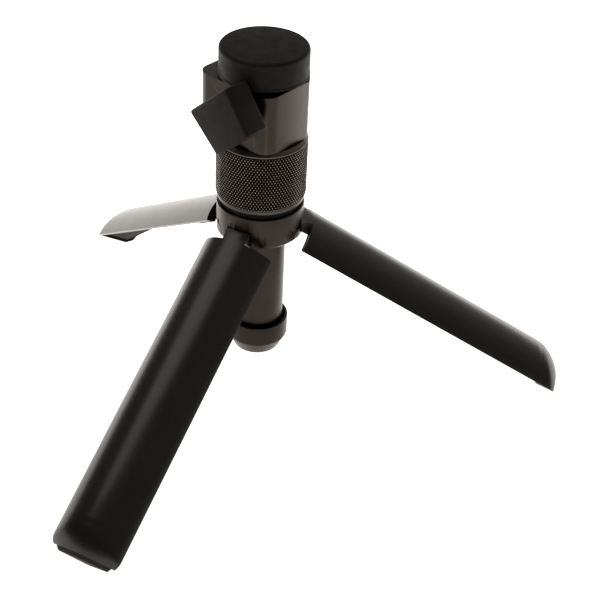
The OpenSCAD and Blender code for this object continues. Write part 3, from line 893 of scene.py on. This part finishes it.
MATERIALS = {
    "gunmetal": anodised(
        "gunmetal_anodised", (0.029, 0.0247, 0.0216), (0.0415, 0.0353, 0.0308), 1.0, 0.3, 0.36, turned=0.5),
    "foot_metal": anodised(
        "gunmetal_foot", (0.023, 0.0196, 0.0171), (0.033, 0.0281, 0.0245), 1.0, 0.32, 0.38, turned=0.5),
    # The third colour is the painted highlight on the knurl's crests.
    "knurl": knurled(
        "gunmetal_knurled", (0.052, 0.0446, 0.0392), (0.078, 0.068, 0.061), (0.5, 0.455, 0.42),
        radius_of("lock_ring") * MM, 0.26, 0.34),
    # A lighter copy of the gunmetal: a painted highlight for the light that the ring's sloping face
    # reflects.
    "bevel": anodised(
        "gunmetal_bevel_painted_highlight", (0.09, 0.079, 0.071), (0.125, 0.11, 0.099), 1.0, 0.36, 0.44, turned=0.5),
    "inner": moulded(
        "black_inner_plastic", (0.007, 0.0064, 0.0056), (0.013, 0.012, 0.0105), 0.6, 0.75,
        grain=0.25, bump_mm=0.03, strength=0.4, specular=0.04),
    "leg": anodised(
        "black_anodised_legs", (0.0055, 0.005, 0.0042), (0.009, 0.0083, 0.007), 0.0, 0.25, 0.28),
    "plastic": moulded(
        "black_plastic_moulded", (0.003, 0.003, 0.003), (0.006, 0.006, 0.0058), 0.5, 0.62,
        grain=0.25, bump_mm=0.03, strength=0.4, specular=0.15),
    "rubber": moulded(
        "black_rubber_matt", (0.0075, 0.007, 0.0062), (0.013, 0.0122, 0.011), 0.46, 0.58,
        grain=0.3, bump_mm=0.05, strength=0.45, specular=0.12),
    "foot": moulded(
        "foot_rubber", (0.012, 0.0075, 0.0065), (0.026, 0.015, 0.013), 0.62, 0.8,
        grain=0.35, bump_mm=0.06, strength=0.5, specular=0.2, sheen=0.05),
    "steel": turned_metal("steel_turned", (0.42, 0.43, 0.44), (0.6, 0.61, 0.62), 0.22, 0.36),
    "brass": turned_metal("brass_turned", (0.56, 0.42, 0.19), (0.74, 0.57, 0.28), 0.24, 0.38),
    "dark_steel": turned_metal("steel_blackened", (0.03, 0.027, 0.025), (0.05, 0.045, 0.04), 0.34, 0.46),
}


def paint(obj, look):
    """Gives an object one of the materials in place of its own."""
    obj.data.materials.clear()
    obj.data.materials.append(MATERIALS[look])


# ---------------------------------------------------------------- pieces

# The edges are widths in millimetres. A leg part's row is (part, look, slot, edge).
HUB_EDGE = 0.22
HEAD_EDGE = 0.3
HEAD_EDGE_SEGMENTS = 3
LEG_INNER_PARTS = (
    ("liner", "inner", "black_plastic", 0.2),
    ("insert", "inner", "black_plastic", 0.35),
    ("foot", "foot", "black_rubber", 0.3),
)


def add_piece(obj, body, look, slot, *nodes):
    """Hangs a painted piece on its moving body, in place of the CAD nodes that it stands for."""
    paint(obj, look)
    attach(obj, body)
    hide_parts(*nodes)


for index in (1, 2, 3):
    stand = open_matrix(index) @ Matrix.Rotation(2 * HALF_SECTOR * (index - 1), 4, "Z")
    body = f"leg_{index}"
    shell = build_channel(f"{body}_shell", stand)
    add_piece(shell, body, "leg", "black_anodised", f"{body}_channel")
    shell.data.materials.append(MATERIALS["inner"])
    for part, look, slot, width in LEG_INNER_PARTS:
        node = f"{body}_{part}"
        add_piece(soft_copy(node, f"{node}_soft", width), body, look, slot, node)

add_piece(soft_copy("hub", "hub_body", HUB_EDGE), "base", "gunmetal", "satin_gunmetal", "hub")
add_piece(build_column("column"), "base", "gunmetal", "satin_gunmetal", "column_tube")
add_piece(build_foot_ring("column_foot"), "base", "foot_metal", "satin_gunmetal", "foot_ring")
add_piece(build_end_plug("column_plug"), "base", "inner", "black_plastic", "end_plug")
add_piece(build_spacer("spacer"), "base", "inner", "black_plastic", "spacer_ring")
add_piece(build_lock_ring("knurled_ring"), "ring", "knurl", "satin_gunmetal", "lock_ring")
# The sloping ring takes the lighter gunmetal, a painted highlight.
add_piece(build_bevel_ring("ring_bevel"), "ring", "bevel", "satin_gunmetal", "bevel_ring")
add_piece(
    soft_copy("head_housing", "head_block", HEAD_EDGE, HEAD_EDGE_SEGMENTS),
    "head", "gunmetal", "satin_gunmetal", "head_housing")
add_piece(build_knob("knob_paddle"), "knob", "rubber", "black_rubber", "lock_knob")
add_piece(build_platform("top_platform"), "platform", "gunmetal", "satin_gunmetal", "camera_platform")
add_piece(build_stud("threaded_stud"), "platform", "steel", "bright_steel", "camera_stud")
add_piece(build_pad("grooved_pad"), "platform", "rubber", "black_rubber", "platform_pad")
add_piece(build_cap("rubber_cap"), "cap", "rubber", "black_rubber", "screw_cap")

CARRIED_OVER = {
    "dark_steel": ("hinge_pins",),
    "steel": (
        "spindle", "spindle_screw", "spindle_washer", "spindle_nut",
        "bearing_inner_races", "bearing_outer_races", "bearing_spacer", "bearing_balls",
        "bearing_sleeve", "bearing_shields", "knob_screw"),
    "brass": ("knob_bush", "brake_tip"),
    "plastic": ("platform_washer",),
}
for look, nodes in CARRIED_OVER.items():
    for node in nodes:
        paint(frame["nodes"][node], look)


# ---------------------------------------------------------------- stage, light and camera
# Lengths in metres unless the name says MM. A ramp is a row of (place, level) stops.

FLOOR_HALF = 3.0
FLOOR_GREY = (0.5, 0.5, 0.5, 1)
FLOOR_ROUGHNESS = 0.8
FLOOR_GLOW_COLOUR = (1, 0.95, 0.905, 1)
FLOOR_GLOW = ((-0.02, 1.11), (0.14, 1.9))
SKY_COLOUR = (1, 0.975, 0.935, 1)
SKY_BY_HEIGHT = ((0, 0.95), (0.08, 0.4), (0.25, 0.17), (0.6, 0.3), (1, 0.3))
SKY_BY_DEPTH = ((-1, 0.35), (0, 0.8), (0.7, 1.9))
SKY_BY_SIDE = ((-1, 0.3), (-0.2, 0.9), (0.2, 1.0), (1, 1.25))
SOFTBOX_PLACE = (-0.36, 0.02, 0.8)
SOFTBOX_TARGET = (0, 0, 0.07)
SOFTBOX_SIZE = 0.55
SOFTBOX_POWER = 1.15
SOFTBOX_COLOUR = (1, 0.97, 0.92)
CAMERA_PLACE_MM = Vector((-10.88, -417.13, 339.57))
CAMERA_RIGHT = Vector((0.99858, -0.03481, 0.04033))
CAMERA_AHEAD = Vector((0.05182, 0.81011, -0.58398))
CAMERA_LENS_MM = 82.71
CAMERA_SENSOR_MM = 36
CAMERA_CLIP = (0.01, 20)


def join(tree, operation, a, b):
    """A maths node that works on two other nodes' outputs."""
    node = tree.nodes.new("ShaderNodeMath")
    node.operation = operation
    tree.links.new(a, node.inputs[0])
    tree.links.new(b, node.inputs[1])
    return node.outputs[0]


def position_ramp(tree, coords, axis, stops):
    """A grey that follows one coordinate through (place, level) stops."""
    split = tree.nodes.new("ShaderNodeSeparateXYZ")
    tree.links.new(coords, split.inputs["Vector"])
    curve = None
    for (place, level), (next_place, next_level) in zip(stops, stops[1:]):
        node = tree.nodes.new("ShaderNodeMapRange")
        node.inputs["From Min"].default_value = place
        node.inputs["From Max"].default_value = next_place
        node.inputs["To Min"].default_value = level if curve is None else 0
        node.inputs["To Max"].default_value = next_level if curve is None else next_level - level
        tree.links.new(split.outputs[axis], node.inputs["Value"])
        step = node.outputs["Result"]
        curve = step if curve is None else join(tree, "ADD", curve, step)
    return curve


def build_floor():
    """A pale lit table top, brighter behind the object than in front of it."""
    corners = [(x * FLOOR_HALF, y * FLOOR_HALF, 0) for x, y in ((-1, -1), (1, -1), (1, 1), (-1, 1))]
    mesh = bpy.data.meshes.new("floor")
    mesh.from_pydata(corners, [], [(0, 1, 2, 3)])
    floor = bpy.data.objects.new("floor", mesh)
    bpy.context.scene.collection.objects.link(floor)
    material = bpy.data.materials.new("pale_floor")
    material.use_nodes = True
    tree = material.node_tree
    bsdf = tree.nodes["Principled BSDF"]
    bsdf.inputs["Base Color"].default_value = FLOOR_GREY
    bsdf.inputs["Roughness"].default_value = FLOOR_ROUGHNESS
    bsdf.inputs["Specular IOR Level"].default_value = 0.0
    bsdf.inputs["Emission Color"].default_value = FLOOR_GLOW_COLOUR
    coords = tree.nodes.new("ShaderNodeTexCoord").outputs["Object"]
    tree.links.new(position_ramp(tree, coords, "Y", FLOOR_GLOW), bsdf.inputs["Emission Strength"])
    mesh.materials.append(material)


def build_world():
    """Bright near the horizon and behind the object, and darker overhead and in front."""
    world = bpy.data.worlds.new("studio")
    world.use_nodes = True
    tree = world.node_tree
    coords = tree.nodes.new("ShaderNodeTexCoord").outputs["Generated"]
    level = position_ramp(tree, coords, "Z", SKY_BY_HEIGHT)
    level = join(tree, "MULTIPLY", level, position_ramp(tree, coords, "Y", SKY_BY_DEPTH))
    level = join(tree, "MULTIPLY", level, position_ramp(tree, coords, "X", SKY_BY_SIDE))
    background = tree.nodes["Background"]
    tree.links.new(level, background.inputs["Strength"])
    background.inputs["Color"].default_value = SKY_COLOUR
    bpy.context.scene.world = world


def add_softbox(name):
    """A square area light above and to the left."""
    light = bpy.data.lights.new(name, "AREA")
    light.shape = "RECTANGLE"
    light.size = SOFTBOX_SIZE
    light.size_y = SOFTBOX_SIZE
    light.energy = SOFTBOX_POWER
    light.color = SOFTBOX_COLOUR
    obj = bpy.data.objects.new(name, light)
    obj.location = SOFTBOX_PLACE
    aim = Vector(SOFTBOX_TARGET) - Vector(SOFTBOX_PLACE)
    obj.rotation_euler = aim.to_track_quat("-Z", "Y").to_euler()
    bpy.context.scene.collection.objects.link(obj)


def add_camera():
    """The photograph's viewpoint."""
    data = bpy.data.cameras.new("camera")
    data.lens = CAMERA_LENS_MM
    data.sensor_width = CAMERA_SENSOR_MM
    data.clip_start = CAMERA_CLIP[0]
    data.clip_end = CAMERA_CLIP[1]
    camera = bpy.data.objects.new("camera", data)
    bpy.context.scene.collection.objects.link(camera)
    up = CAMERA_RIGHT.cross(CAMERA_AHEAD)
    turn = Matrix((CAMERA_RIGHT, up, -CAMERA_AHEAD)).transposed().to_4x4()
    camera.matrix_world = Matrix.Translation(CAMERA_PLACE_MM * MM) @ turn
    bpy.context.scene.camera = camera


build_floor()
build_world()
add_softbox("overhead")
add_camera()
bpy.context.scene.view_settings.view_transform = "Standard"

bpy.context.view_layer.update()
